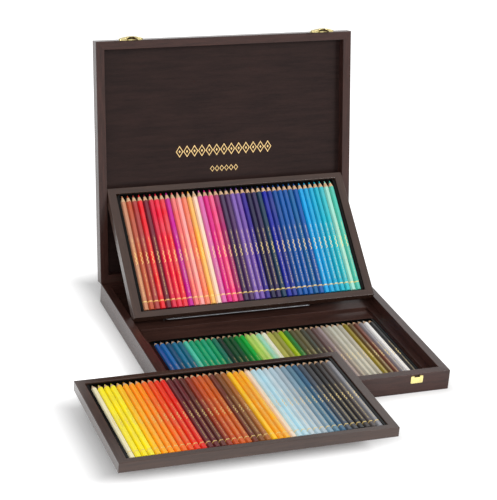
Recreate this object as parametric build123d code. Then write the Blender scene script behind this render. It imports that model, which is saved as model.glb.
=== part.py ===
from build123d import *
import math
import os

# A hinged wooden pencil case with two lift-out trays and a fixed bottom row.
# Millimetres. +X right, +Y to the hinge side, +Z up.
# The origin is the centre of the underside of the case.
# The lid stands open, the upper tray leans in it, and the middle tray lies on the front rim.

# ---- driving dimensions: pencils ----
pencil_count = 40
pencil_flats = 7.0
pencil_spacing = 0.08
pencil_length = 177.0
sharpening_slope = 0.31
lead_radius = 1.65
lead_bore_clearance = 0.05
lead_tip_radius = 0.45
lead_start = 2.0

# ---- driving dimensions: moulded pencil inserts ----
insert_floor = 1.0
insert_side_bead = 4.2
insert_end_wall = 1.0
insert_height = 6.6
insert_slack = 0.1
insert_clearance = 0.2
insert_corner = 7.0
pocket_corner = 1.5
ridge_height = 2.0
ridge_width = 2.4
butt_gap = 1.0
tip_gap = 1.4

# ---- driving dimensions: trays ----
tray_side_rail = 11.85
tray_end_rail = 9.1
tray_panel_lift = 2.6
tray_panel = 2.8
tray_groove = 4.0
pencil_below_rim = 0.4
tray_clearance = 0.4

# ---- driving dimensions: case ----
wall_thickness = 12.0
floor_thickness = 4.9
floor_rebate = 6.0
panel_clearance = 0.1
ledge_width = 10.4
ledge_over_pencils = 1.7
step_drop = 3.3
step_depth = 28.0
platform_depth = 110.2
rim_over_tray = 0.3
rim_gap = 0.3
hinge_sink = 0.15
lid_panel_thickness = 3.0
lid_headroom = 0.4
edge_round = 0.8
lid_open_angle = 102.1

# ---- driving dimensions: hinges ----
hinge_spacing = 230.0
leaf_length = 40.0
leaf_depth = 9.0
leaf_thickness = 1.5
knuckle_radius = 2.2
hinge_pin_radius = 1.0
hinge_pin_clearance = 0.05
knuckle_gap = 0.3
screw_spacing = 28.0
screw_head_radius = 1.9
screw_head_depth = 1.1
screw_shank_radius = 0.9
screw_length = 8.0
screw_clearance = 0.05

# ---- driving dimensions: latches ----
latch_spacing = 287.0
latch_plate_width = 27.0
latch_plate_height = 8.0
latch_plate_lift = 1.6
latch_plate_thickness = 1.0
tongue_thickness = 5.3
tongue_gap = 0.3
tongue_lobe_radius = 6.2
tongue_lobe_spacing = 22.0
tongue_drop = 12.5
tongue_lip_lift = 2.2
tongue_arch_width = 16.0
tongue_arch_rise = 4.0
tongue_arch_depth = 9.0
tongue_body_height = 13.5
tongue_dome_up = 24.0
tongue_dome_across = 48.0
tongue_edge_round = 0.7
tongue_axis_lift = 10.6
tongue_knuckle_radius = 1.3
tongue_knuckle_width = 11.0
tongue_ear_width = 4.0
latch_pin_radius = 0.6
nose_width = 5.0
nose_drop = 4.6
nose_thickness = 2.0
keeper_width = 17.5
keeper_height = 10.6
keeper_drop = 3.0
keeper_thickness = 1.0
keeper_notch_width = 8.4
keeper_notch_depth = 1.8
keeper_panel_width = 10.4
keeper_panel_height = 3.8
keeper_line = 0.5
keeper_line_depth = 0.3
catch_pocket_height = 3.2
catch_pocket_depth = 2.0
nail_radius = 0.55
nail_length = 6.0
nail_head = 0.35

# ---- driving dimensions: wire rest and where the trays stand ----
wire_radius = 0.9
wire_left = -130.0
wire_right = 85.0
wire_setback = 9.2
wire_height = 7.55
wire_leg_run = 12.8
wire_socket = 5.0
wire_bend = 3.2
contact_gap = 0.3
middle_tray_shift = -129.3
middle_tray_overlap = 57.6
middle_tray_gap = 0.1

# ---- sizes that follow ----
pencil_corners = pencil_flats / math.cos(math.radians(30))
pencil_pitch = pencil_corners + pencil_spacing
insert_width = pencil_count * pencil_pitch + 2 * (insert_side_bead + insert_slack)
insert_depth = pencil_length + butt_gap + tip_gap + 2 * insert_end_wall

tray_width = insert_width + 2 * (insert_clearance + tray_side_rail)
tray_depth = insert_depth + 2 * (insert_clearance + tray_end_rail)
tray_insert_z = tray_panel_lift + tray_panel
tray_height = tray_insert_z + insert_floor + pencil_flats + pencil_below_rim

inner_width = tray_width + 2 * tray_clearance
inner_depth = insert_depth + 2 * insert_clearance + step_depth + platform_depth
case_width = inner_width + 2 * wall_thickness
case_depth = inner_depth + 2 * wall_thickness
ledge_z = floor_thickness + insert_floor + pencil_flats + ledge_over_pencils
step_z = ledge_z - step_drop
base_height = ledge_z + tray_height + rim_over_tray
lid_inner_depth = tray_height + lid_headroom
lid_height = lid_inner_depth + lid_panel_thickness
lid_rim_z = base_height + rim_gap

front_y = -case_depth / 2
rear_y = case_depth / 2
inner_front_y = front_y + wall_thickness
inner_rear_y = rear_y - wall_thickness
platform_front_y = inner_rear_y - platform_depth
hinge_y = rear_y
hinge_z = base_height - hinge_sink
hinge_line = Axis((0, hinge_y, hinge_z), (1, 0, 0))

wire_y = platform_front_y + wire_setback
wire_z = ledge_z + wire_height
foot_y = wire_y - wire_radius / 2
foot_z = wire_z + math.sqrt((wire_radius + contact_gap) ** 2 - (wire_radius / 2) ** 2)

# The upper tray's rear lower edge stops short of the lid panel by the contact gap.
open_radians = math.radians(lid_open_angle)
panel_reach = lid_rim_z - hinge_z + lid_inner_depth - contact_gap
foot_reach = (foot_y - hinge_y) * math.sin(open_radians) + (foot_z - hinge_z) * math.cos(open_radians)
lean_angle = 180 - lid_open_angle - math.degrees(math.asin((panel_reach - foot_reach) / tray_depth))


# ---- helpers ----
def block(x0, x1, y0, y1, z0, z1):
    """A box between two corners."""
    centre = ((x0 + x1) / 2, (y0 + y1) / 2, (z0 + z1) / 2)
    return Pos(*centre) * Box(x1 - x0, y1 - y0, z1 - z0)


def rod(x0, x1, y, z, radius):
    """A round bar along X."""
    return Pos((x0 + x1) / 2, y, z) * Rot(0, 90, 0) * Cylinder(radius, x1 - x0)


def prism(points, z0, z1):
    """A plan outline raised from z0 to z1."""
    outline = make_face(Polyline(*points, close=True))
    return Pos(0, 0, z0) * extrude(outline, z1 - z0)


def save(name, *solids):
    """Write one node: a solid, or a group of separate solids."""
    shape = solids[0] if len(solids) == 1 else Compound(children=list(solids))
    export_step(shape, os.path.join("parts", name + ".step"))


def round_long_edges(rail, axis, radius, heights, sharp_z=None, sharp_y=None):
    """Round the long edges of a rail at the given heights, but for one at sharp_z and sharp_y."""
    edges = rail.edges().filter_by(axis)
    chosen = [edge for edge in edges if min(abs(edge.center().Z - z) for z in heights) < 0.01]
    if sharp_z is not None:
        chosen = [edge for edge in chosen
                  if abs(edge.center().Z - sharp_z) > 0.01 or abs(edge.center().Y - sharp_y) > 0.01]
    return fillet(chosen, radius)


def mitred_frame(width, depth, side, end, z0, z1, rounded, cutter, sharp_rear=None):
    """Front, rear, left and right rails of a frame, mitred from corner to corner.

    The frame is centred on X and Y. The cutter is taken from each rail, for a panel groove or rebate.
    The rear rail's outer edge at the height sharp_rear isn't rounded, because the hinge line runs there.
    """
    x, y = width / 2, depth / 2
    xi, yi = x - side, y - end
    plans = {
        "front": ([(-x, -y), (x, -y), (xi, -yi), (-xi, -yi)], Axis.X),
        "rear": ([(x, y), (-x, y), (-xi, yi), (xi, yi)], Axis.X),
        "left": ([(-x, y), (-x, -y), (-xi, -yi), (-xi, yi)], Axis.Y),
        "right": ([(x, -y), (x, y), (xi, yi), (xi, -yi)], Axis.Y),
    }
    rails = {}
    for place, (points, axis) in plans.items():
        sharp = sharp_rear if place == "rear" else None
        rail = round_long_edges(prism(points, z0, z1), axis, edge_round, rounded, sharp, y)
        rails[place] = rail - cutter
    return rails


# ---- pencils: the row is built with its butts on Y = 0 and its axes on Z = 0 ----
def pencil_places():
    first = -(pencil_count - 1) * pencil_pitch / 2
    return [first + index * pencil_pitch for index in range(pencil_count)]


def pencil_barrel():
    """A hexagonal barrel, sharpened to the lead and bored for it."""
    corner = pencil_corners / 2
    hexagon = Plane.XZ * RegularPolygon(corner, 6)
    stock = extrude(hexagon, -pencil_length)
    wide = corner + 0.1
    cone_start = pencil_length - (wide - lead_tip_radius) / sharpening_slope
    profile = [(0, 0), (wide, 0), (wide, cone_start), (lead_tip_radius, pencil_length), (0, pencil_length)]
    turned = revolve(make_face(Polyline(*profile, close=True)), Axis.Y)
    bore = lead_radius + lead_bore_clearance
    bored_length = pencil_length - lead_start
    hole = Pos(0, lead_start + bored_length / 2, 0) * Rot(90, 0, 0) * Cylinder(bore, bored_length)
    return (stock & turned) - hole


def pencil_lead():
    """The lead: a round core that ends in the sharpened point."""
    shoulder = pencil_length - (lead_radius - lead_tip_radius) / sharpening_slope
    start = lead_start + lead_bore_clearance
    profile = [(0, start), (lead_radius, start), (lead_radius, shoulder),
               (lead_tip_radius, pencil_length), (0, pencil_length)]
    return revolve(make_face(Polyline(*profile, close=True)), Axis.Y)


def pencil_row(pencil, place):
    """Copies of one pencil piece, side by side, set in the frame of a tray or the case."""
    return [place * Pos(x, 0, 0) * pencil for x in pencil_places()]


# ---- moulded insert: centred on X, its front on Y = 0, its underside on Z = 0 ----
def pencil_insert():
    """A moulded black insert with a raised bead, rounded corners and a ridge between pencils."""
    half = insert_width / 2
    outer = Pos(0, insert_depth / 2, insert_height / 2) * Box(insert_width, insert_depth, insert_height)
    outer = fillet(outer.edges().filter_by(Axis.Z), insert_corner)
    pocket_width = insert_width - 2 * insert_side_bead
    pocket_depth = insert_depth - 2 * insert_end_wall
    pocket = Pos(0, insert_depth / 2, insert_floor + insert_height / 2)
    pocket = pocket * Box(pocket_width, pocket_depth, insert_height)
    pocket = fillet(pocket.edges().filter_by(Axis.Z), pocket_corner)
    body = outer - pocket
    top = body.faces().sort_by(Axis.Z)[-1]
    body = fillet(top.outer_wire().edges(), min(insert_end_wall, insert_side_bead) * 0.45)
    profile = [(-half + insert_side_bead, insert_floor)]
    for x in pencil_places()[:-1]:
        middle = x + pencil_pitch / 2
        profile += [(middle - ridge_width / 2, insert_floor), (middle, insert_floor + ridge_height),
                    (middle + ridge_width / 2, insert_floor)]
    profile += [(half - insert_side_bead, insert_floor),
                (half - insert_side_bead, insert_floor / 2), (-half + insert_side_bead, insert_floor / 2)]
    ridges = extrude(Plane.XZ * make_face(Polyline(*profile, close=True)), -pocket_depth)
    return body + Pos(0, insert_end_wall, 0) * ridges


insert_shape = pencil_insert()
barrel_shape = pencil_barrel()
lead_shape = pencil_lead()
pencil_rise = insert_floor + pencil_flats / 2
pencil_start = insert_end_wall + butt_gap


# ---- trays: centred on X, front edge on Y = 0, underside on Z = 0 ----
def save_tray(name, place):
    """Write the eight nodes of one tray, set down at a place."""
    centred = Pos(0, tray_depth / 2, 0)
    slot_x = tray_width / 2 - tray_side_rail + tray_groove
    slot_y = tray_depth / 2 - tray_end_rail + tray_groove
    panel_top = tray_panel_lift + tray_panel
    slot = block(-slot_x, slot_x, -slot_y, slot_y, tray_panel_lift, panel_top)
    rails = mitred_frame(tray_width, tray_depth, tray_side_rail, tray_end_rail, 0, tray_height,
                         [0, tray_height], slot)
    for side, rail in rails.items():
        save(f"{name}_{side}_rail", place * centred * rail)
    fit_x, fit_y = slot_x - panel_clearance, slot_y - panel_clearance
    panel = block(-fit_x, fit_x, -fit_y, fit_y, tray_panel_lift, panel_top)
    save(f"{name}_bottom_panel", place * centred * panel)
    insert_place = place * Pos(0, tray_end_rail + insert_clearance, tray_insert_z)
    save(f"{name}_insert", insert_place * insert_shape)
    pencil_place = insert_place * Pos(0, pencil_start, pencil_rise)
    save(f"{name}_pencil_barrels", *pencil_row(barrel_shape, pencil_place))
    save(f"{name}_pencil_leads", *pencil_row(lead_shape, pencil_place))


# ---- hinges ----
def hinge_places():
    return {"left": -hinge_spacing / 2, "right": hinge_spacing / 2}


def knuckle_spans():
    """Three equal knuckles along a leaf: the base leaf has the outer two, the lid leaf the middle one."""
    third = leaf_length / 3
    half_gap = knuckle_gap / 2
    outer = [(-leaf_length / 2, -third / 2 - half_gap), (third / 2 + half_gap, leaf_length / 2)]
    middle = [(-third / 2 + half_gap, third / 2 - half_gap)]
    return outer, middle


def screw(radius_extra, length_extra):
    """A countersunk screw pointing down, with the top of its head on Z = 0."""
    head = Pos(0, 0, -screw_head_depth / 2) * Cone(
        screw_shank_radius + radius_extra, screw_head_radius + radius_extra, screw_head_depth)
    shank_length = screw_length - screw_head_depth + length_extra
    shank = Pos(0, 0, -screw_head_depth - shank_length / 2) * Cylinder(
        screw_shank_radius + radius_extra, shank_length)
    return head + shank


def screw_places(hinge_x):
    """Where a leaf's two screws stand, in plan."""
    y = hinge_y - knuckle_radius - (leaf_depth - knuckle_radius) / 2
    return [(hinge_x - screw_spacing / 2, y), (hinge_x + screw_spacing / 2, y)]


def leaf(hinge_x, z0, z1, own_spans, other_spans):
    """A hinge leaf: a plate let into the rim, with its knuckles bored for the pin."""
    plate = block(hinge_x - leaf_length / 2, hinge_x + leaf_length / 2,
                  hinge_y - leaf_depth, hinge_y, z0, z1)
    for start, stop in other_spans:
        plate -= rod(hinge_x + start - knuckle_gap, hinge_x + stop + knuckle_gap,
                     hinge_y, hinge_z, knuckle_radius + knuckle_gap)
    for start, stop in own_spans:
        plate += rod(hinge_x + start, hinge_x + stop, hinge_y, hinge_z, knuckle_radius)
    return plate - rod(hinge_x - leaf_length, hinge_x + leaf_length, hinge_y, hinge_z,
                       hinge_pin_radius + hinge_pin_clearance)


def hinge_mortise(hinge_x, z0, z1):
    """The room that a leaf and the whole barrel take out of a rear wall."""
    half = leaf_length / 2 + screw_clearance
    seat = block(hinge_x - half, hinge_x + half, hinge_y - leaf_depth - screw_clearance,
                 hinge_y + knuckle_radius, z0, z1)
    return seat + rod(hinge_x - half, hinge_x + half, hinge_y, hinge_z, knuckle_radius + knuckle_gap)


# ---- latches: each piece is drawn at X = 0 with the lid closed, and then moved along X ----
def latch_places():
    return {"left": -latch_spacing / 2, "right": latch_spacing / 2}


plate_face_y = front_y - latch_plate_thickness
tongue_back_y = front_y - max(latch_plate_thickness, keeper_thickness) - tongue_gap
tongue_front_y = tongue_back_y - tongue_thickness
tongue_axis_y = tongue_back_y - tongue_knuckle_radius / 2
tongue_axis_z = lid_rim_z + tongue_axis_lift


def front_outline(outline, y_back, thickness):
    """An outline drawn in X and Z, raised towards the front from y_back."""
    return Pos(0, y_back, 0) * extrude(Plane.XZ * outline, thickness)


def latch_plate():
    """The brass plate on the lid: it carries two ears for the tongue's pin."""
    z0 = lid_rim_z + latch_plate_lift
    z1 = z0 + latch_plate_height
    outline = Pos(0, (z0 + z1) / 2) * RectangleRounded(latch_plate_width, latch_plate_height, 2.5)
    plate = front_outline(outline, front_y, latch_plate_thickness)
    reach = tongue_knuckle_width / 2 + knuckle_gap
    for start in (-reach - tongue_ear_width, reach):
        ear = rod(start, start + tongue_ear_width, tongue_axis_y, tongue_axis_z, tongue_knuckle_radius)
        web = block(start, start + tongue_ear_width, tongue_axis_y, front_y,
                    z1 - 1, tongue_axis_z + tongue_knuckle_radius / 2)
        plate += ear + web
    plate -= block(-reach, reach, tongue_axis_y - 2 * tongue_knuckle_radius, front_y + 1,
                   tongue_axis_z - tongue_knuckle_radius - knuckle_gap, tongue_axis_z + 2 * tongue_knuckle_radius)
    return plate - latch_pin(latch_plate_width, hinge_pin_clearance)


def latch_pin(half_length, extra=0.0):
    """The pin that a tongue swings on, or with the clearance added, the bore for it."""
    return rod(-half_length, half_length, tongue_axis_y, tongue_axis_z, latch_pin_radius + extra)


def barrel(radius, bulge_radius, half_height):
    """A barrel about Z: round across, and bulged along its height."""
    end = radius - bulge_radius + math.sqrt(bulge_radius ** 2 - half_height ** 2)
    sides = Polyline((end, half_height), (0, half_height), (0, -half_height), (end, -half_height))
    bulge = ThreePointArc((end, -half_height), (radius, 0), (end, half_height))
    return revolve(Plane.XZ * make_face(sides + bulge), Axis.Z)


def latch_tongue():
    """The swinging brass tongue: a domed body, arched at its lip, with a knuckle and a nose behind."""
    lobe_x = tongue_lobe_spacing / 2
    lobe_z = lid_rim_z - tongue_drop + tongue_lobe_radius
    top_z = lobe_z + tongue_body_height
    wide = lobe_x + tongue_lobe_radius
    upper = Pos(0, lobe_z) * Ellipse(wide, tongue_body_height)
    lower_half = Pos(0, lobe_z - tongue_body_height) * Rectangle(3 * wide, 2 * tongue_body_height)
    outline = upper - lower_half
    for side in (-lobe_x, lobe_x):
        outline += Pos(side, lobe_z) * Circle(tongue_lobe_radius)
    lip_z = lid_rim_z - tongue_drop + tongue_lip_lift
    outline += Pos(0, (lip_z + lobe_z) / 2) * Rectangle(2 * lobe_x, lobe_z - lip_z)
    body = front_outline(outline, tongue_back_y, tongue_thickness)
    body &= Pos(0, tongue_front_y + tongue_dome_across, lobe_z) * barrel(
        tongue_dome_across, tongue_dome_up, tongue_dome_up * 0.8)
    front_edges = [edge for edge in body.edges() if edge.center().Y < tongue_back_y - 0.3]
    body = fillet(front_edges, tongue_edge_round)
    arch_radius = (tongue_arch_width ** 2 / 4 + tongue_arch_rise ** 2) / (2 * tongue_arch_rise)
    arch_y = tongue_back_y - tongue_arch_rise + arch_radius
    arch_slope = math.degrees(math.atan(tongue_arch_rise / tongue_arch_depth))
    body -= Pos(0, arch_y, lip_z) * Rot(-arch_slope, 0, 0) * Cylinder(arch_radius, 4 * tongue_arch_depth)
    half_knuckle = tongue_knuckle_width / 2
    neck = block(-half_knuckle, half_knuckle, tongue_back_y - 0.7, tongue_back_y, top_z - 2, tongue_axis_z)
    knuckle = rod(-half_knuckle, half_knuckle, tongue_axis_y, tongue_axis_z, tongue_knuckle_radius)
    nose = block(-nose_width / 2, nose_width / 2, front_y - tongue_gap - nose_thickness,
                 front_y - tongue_gap, lid_rim_z - nose_drop, lid_rim_z + latch_plate_lift - 0.6)
    tongue = body + neck + knuckle + nose
    return tongue - latch_pin(latch_plate_width, hinge_pin_clearance)


def keeper():
    """The brass keeper on the case front: notched at its top, with a framed field pressed into it."""
    z1 = base_height - keeper_drop
    z0 = z1 - keeper_height
    outline = Pos(0, (z0 + z1) / 2) * RectangleRounded(keeper_width, keeper_height, 1.2)
    plate = front_outline(outline, front_y, keeper_thickness)
    notch = block(-keeper_notch_width / 2, keeper_notch_width / 2,
                  front_y - 2 * keeper_thickness, front_y, z1 - keeper_notch_depth, z1 + 1)
    field = Pos(0, (z0 + z1) / 2)
    line = field * Rectangle(keeper_panel_width, keeper_panel_height)
    line -= field * Rectangle(keeper_panel_width - 2 * keeper_line, keeper_panel_height - 2 * keeper_line)
    front = front_y - keeper_thickness + keeper_line_depth
    return plate - notch - front_outline(line, front, 2 * keeper_line_depth)


def nail(x, z, face_y, extra=0.0):
    """A brass nail driven in from the front, its head standing on a plate."""
    shank_radius = nail_radius + extra
    length = nail_length + extra
    shank = Pos(x, face_y + length / 2, z) * Rot(90, 0, 0) * Cylinder(shank_radius, length)
    head = Pos(x, face_y - nail_head / 2, z) * Rot(90, 0, 0) * Cylinder(2 * nail_radius, nail_head)
    return shank + head if extra == 0 else shank


def plate_nail_places():
    """Nail points of the latch plates: the outer corners that the tongue leaves free."""
    z = lid_rim_z + latch_plate_lift + latch_plate_height - 1.8
    offset = latch_plate_width / 2 - 1.8
    return [(x + side * offset, z) for x in latch_places().values() for side in (-1, 1)]


def keeper_nail_places():
    """Nail points of the keepers: low at each side."""
    z = base_height - keeper_drop - keeper_height + 1.9
    offset = keeper_width / 2 - 1.8
    return [(x + side * offset, z) for x in latch_places().values() for side in (-1, 1)]


def opened(shape):
    """Swing a piece of the closed lid to where the lid stands open."""
    return shape.rotate(hinge_line, -lid_open_angle)


# ---- wire rest ----
def wire_rest(radius):
    """A bent steel wire: a straight bar with two legs that run back and down into the platform."""
    leg_y = wire_y + wire_leg_run
    foot = ledge_z - wire_socket
    knee = ledge_z + wire_height * 0.45
    left, right = wire_left + radius, wire_right - radius
    points = [(left, leg_y, foot), (left, leg_y, knee), (left, wire_y, wire_z),
              (right, wire_y, wire_z), (right, leg_y, knee), (right, leg_y, foot)]
    bends = [wire_bend * 0.7, wire_bend, wire_bend, wire_bend * 0.7]
    path = FilletPolyline(*points, radius=bends)
    section = Plane(origin=points[0], z_dir=(0, 0, 1)) * Circle(radius)
    return sweep(section, path=path)


def wire_sockets():
    """The two holes in the platform that hold the wire's legs."""
    leg_y = wire_y + wire_leg_run
    depth = wire_socket + panel_clearance
    hole = Cylinder(wire_radius + panel_clearance / 2, depth)
    places = (wire_left + wire_radius, wire_right - wire_radius)
    return [Pos(x, leg_y, ledge_z - depth / 2) * hole for x in places]


os.makedirs("parts", exist_ok=True)

# ---- case walls and floor ----
floor_x = inner_width / 2 + floor_rebate
floor_y = inner_depth / 2 + floor_rebate
floor_room = block(-floor_x, floor_x, -floor_y, floor_y, -1, floor_thickness)
walls = mitred_frame(case_width, case_depth, wall_thickness, wall_thickness, 0, base_height,
                     [0, base_height], floor_room, sharp_rear=base_height)
screw_hole = screw(screw_clearance, screw_clearance)
for hinge_x in hinge_places().values():
    walls["rear"] -= hinge_mortise(hinge_x, base_height - leaf_thickness, base_height + 1)
    for x, y in screw_places(hinge_x):
        walls["rear"] -= Pos(x, y, base_height) * screw_hole
for x, z in keeper_nail_places():
    walls["front"] -= nail(x, z, front_y, panel_clearance)
pocket_z = base_height - keeper_drop - keeper_notch_depth
pocket_half = keeper_notch_width / 2 - tongue_gap
for x in latch_places().values():
    walls["front"] -= block(x - pocket_half, x + pocket_half, front_y - 1, front_y + catch_pocket_depth,
                            pocket_z, pocket_z + catch_pocket_height)
for side, wall in walls.items():
    save(f"case_{side}_wall", wall)
fit_x, fit_y = floor_x - panel_clearance, floor_y - panel_clearance
save("case_floor_panel", block(-fit_x, fit_x, -fit_y, fit_y, 0, floor_thickness))

# ---- ledges, step and rear platform inside the case ----
ledge_outer = inner_width / 2
ledge_inner = ledge_outer - ledge_width
strip_inner = insert_width / 2 + insert_clearance
for side, sign in (("left", -1), ("right", 1)):
    low = block(*sorted((sign * strip_inner, sign * ledge_outer)), inner_front_y, platform_front_y,
                floor_thickness, step_z)
    high = block(*sorted((sign * ledge_inner, sign * ledge_outer)), inner_front_y, platform_front_y,
                 step_z, ledge_z)
    save(f"{side}_ledge_strip", low + high)
save("step_board", block(-strip_inner, strip_inner, platform_front_y - step_depth, platform_front_y,
                         floor_thickness, step_z))
platform = block(-ledge_outer, ledge_outer, platform_front_y, inner_rear_y, floor_thickness, ledge_z)
platform = round_long_edges(platform, Axis.X, edge_round / 2, [ledge_z])
for socket in wire_sockets():
    platform -= socket
save("rear_platform", platform)
save("wire_tray_rest", wire_rest(wire_radius))

# ---- bottom row of pencils ----
base_insert_place = Pos(0, inner_front_y + insert_clearance, floor_thickness)
save("case_insert", base_insert_place * insert_shape)
base_pencil_place = base_insert_place * Pos(0, pencil_start, pencil_rise)
save("case_pencil_barrels", *pencil_row(barrel_shape, base_pencil_place))
save("case_pencil_leads", *pencil_row(lead_shape, base_pencil_place))

# ---- lid, built closed and then opened ----
lid_top_z = lid_rim_z + lid_height
lid_room = block(-floor_x, floor_x, -floor_y, floor_y, lid_top_z - lid_panel_thickness, lid_top_z + 1)
lid_rails = mitred_frame(case_width, case_depth, wall_thickness, wall_thickness, lid_rim_z, lid_top_z,
                         [lid_rim_z, lid_top_z], lid_room, sharp_rear=lid_rim_z)
for hinge_x in hinge_places().values():
    lid_rails["rear"] -= hinge_mortise(hinge_x, lid_rim_z - 1, lid_rim_z + leaf_thickness)
    for x, y in screw_places(hinge_x):
        lid_rails["rear"] -= Pos(x, y, lid_rim_z) * Rot(180, 0, 0) * screw_hole
for x, z in plate_nail_places():
    lid_rails["front"] -= nail(x, z, plate_face_y, panel_clearance)
for side, rail in lid_rails.items():
    save(f"lid_{side}_rail", opened(rail))
lid_panel = block(-fit_x, fit_x, -fit_y, fit_y, lid_top_z - lid_panel_thickness, lid_top_z)
save("lid_panel", opened(lid_panel))

# ---- hinges ----
outer_spans, middle_spans = knuckle_spans()
base_screws = []
lid_screws = []
for side, hinge_x in hinge_places().items():
    base_leaf = leaf(hinge_x, base_height - leaf_thickness, base_height, outer_spans, middle_spans)
    lid_leaf = leaf(hinge_x, lid_rim_z, lid_rim_z + leaf_thickness, middle_spans, outer_spans)
    for x, y in screw_places(hinge_x):
        base_place = Pos(x, y, base_height)
        lid_place = Pos(x, y, lid_rim_z) * Rot(180, 0, 0)
        base_leaf -= base_place * screw_hole
        lid_leaf -= lid_place * screw_hole
        base_screws.append(base_place * screw(0, 0))
        lid_screws.append(opened(lid_place * screw(0, 0)))
    save(f"hinge_base_leaf_{side}", base_leaf)
    save(f"hinge_lid_leaf_{side}", opened(lid_leaf))
    save(f"hinge_pin_{side}", rod(hinge_x - leaf_length / 2, hinge_x + leaf_length / 2,
                                  hinge_y, hinge_z, hinge_pin_radius))
save("hinge_base_screws", *base_screws)
save("hinge_lid_screws", *lid_screws)

# ---- latches and keepers ----
plate_shape = latch_plate()
tongue_shape = latch_tongue()
pin_shape = latch_pin(tongue_knuckle_width / 2 + knuckle_gap + tongue_ear_width)
keeper_shape = keeper()
for side, x in latch_places().items():
    place = Pos(x, 0, 0)
    plate = place * plate_shape
    for nail_x, nail_z in plate_nail_places():
        plate -= nail(nail_x, nail_z, plate_face_y, screw_clearance)
    catch = place * keeper_shape
    for nail_x, nail_z in keeper_nail_places():
        catch -= nail(nail_x, nail_z, front_y - keeper_thickness, screw_clearance)
    save(f"latch_plate_{side}", opened(plate))
    save(f"latch_tongue_{side}", opened(place * tongue_shape))
    save(f"latch_pin_{side}", opened(place * pin_shape))
    save(f"keeper_{side}", catch)
save("latch_nails", *[opened(nail(x, z, plate_face_y)) for x, z in plate_nail_places()])
save("keeper_nails", *[nail(x, z, front_y - keeper_thickness) for x, z in keeper_nail_places()])

# ---- trays where they stand ----
middle_rear_y = front_y + middle_tray_overlap
save_tray("middle_tray", Pos(middle_tray_shift, middle_rear_y - tray_depth, base_height + middle_tray_gap))
save_tray("upper_tray", Pos(0, foot_y, foot_z) * Rot(lean_angle, 0, 0))

print(f"case {case_width:.1f} x {case_depth:.1f} x {base_height:.1f} + {lid_height:.1f}")
print(f"tray {tray_width:.1f} x {tray_depth:.1f} x {tray_height:.1f}, lean {lean_angle:.2f}")
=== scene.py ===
# %% [markdown]
# # A wooden case of coloured pencils
# The object is a hinged case of dark varnished wood. A tray of pencils leans in its open lid, a
# second tray lies across its front rim, and a third row lies in the case itself. The solids come
# from the CAD frame. This lesson gives them their varnish, plastic, brass and lacquer, and builds
# the pencils and the screws again with Geometry Nodes.

# %% Load the frame
import math
import bmesh
import bpy
from mathutils import Matrix, Vector


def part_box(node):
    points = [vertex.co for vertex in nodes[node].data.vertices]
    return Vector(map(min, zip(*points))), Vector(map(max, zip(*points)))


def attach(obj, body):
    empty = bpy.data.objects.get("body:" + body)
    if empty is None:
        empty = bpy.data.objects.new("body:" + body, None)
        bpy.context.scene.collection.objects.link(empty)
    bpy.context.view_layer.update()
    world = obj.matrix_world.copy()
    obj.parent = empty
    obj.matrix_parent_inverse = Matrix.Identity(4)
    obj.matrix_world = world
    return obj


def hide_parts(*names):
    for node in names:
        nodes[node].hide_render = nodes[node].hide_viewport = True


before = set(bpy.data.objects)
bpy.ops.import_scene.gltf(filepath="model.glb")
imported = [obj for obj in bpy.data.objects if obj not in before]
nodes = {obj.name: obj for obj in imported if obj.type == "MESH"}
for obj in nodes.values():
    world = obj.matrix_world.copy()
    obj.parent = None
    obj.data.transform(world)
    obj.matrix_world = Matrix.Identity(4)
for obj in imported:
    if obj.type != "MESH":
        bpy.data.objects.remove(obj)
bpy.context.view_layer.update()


# %% [markdown]
# ## Names for places and sizes
# Blender works in metres, and sizes that are given in millimetres are multiplied by MM. The lid and
# the upper tray are tilted. Each tilted piece could be modelled in its tilted place, but its sizes
# would be hard to read. So each gets a matrix, which carries a point of the closed lid, or of a tray
# lying flat, to where it is in the photograph's pose. HINGE lies on the lid's axis, and FOOT is the
# lower front edge of the upper tray.

# %% Places
MM = 0.001
LID_OPEN = math.radians(102.1)
HINGE = Vector((0, 172, 28.55)) * MM
LEAN = math.radians(39.521)
FOOT = Vector((0, 58.550, 23.262)) * MM

lid_place = Matrix.Translation(HINGE) @ Matrix.Rotation(-LID_OPEN, 4, "X") @ Matrix.Translation(-HINGE)
upper_place = Matrix.Translation(FOOT) @ Matrix.Rotation(LEAN, 4, "X")
print("lid turned", round(math.degrees(LID_OPEN), 1), "degrees")
print("tray leans", round(math.degrees(LEAN), 1), "degrees")


# %% [markdown]
# ## The camera
# The object was photographed with a long lens from the front left, a little above. A camera could be
# moved by eye until the picture fits. This one's place and angles were worked out from the straight
# edges of the case before anything was modelled, so they are only written down here.

# %% Camera
def show(thing):
    """Put an object into the scene, and return it."""
    bpy.context.scene.collection.objects.link(thing)
    return thing


view = bpy.data.cameras.new("camera")
view.sensor_fit = "HORIZONTAL"
view.sensor_width = 36
view.lens = 124.73
camera = show(bpy.data.objects.new("camera", view))
camera.location = (-0.8316, -1.9414, 1.1072)
camera.rotation_euler = [math.radians(a) for a in (65.3171, -4.1933, -20.2433)]
bpy.context.scene.camera = camera
bpy.context.scene.view_settings.view_transform = "Standard"
print("camera", tuple(camera.location))


# %% [markdown]
# ## Helpers for node trees
# A node tree could be built with one line for each node, socket and link, but that hides what the
# tree is for. These helpers make a node, set its sockets and link its inputs in one call, so that a
# material reads from top to bottom like a recipe.

# %% Node helpers
def feed(tree, node, inputs):
    """Feed a node's inputs. A value sets the socket, and another node's output is linked to it."""
    for key, value in inputs.items():
        if isinstance(value, bpy.types.NodeSocket):
            tree.links.new(value, node.inputs[key])
        else:
            node.inputs[key].default_value = value


def put(tree, kind, inputs=None, **settings):
    """Add a node with its settings, and feed its inputs."""
    node = tree.nodes.new(kind)
    for name, value in settings.items():
        setattr(node, name, value)
    feed(tree, node, inputs or {})
    return node


print("node helpers ready")


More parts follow.
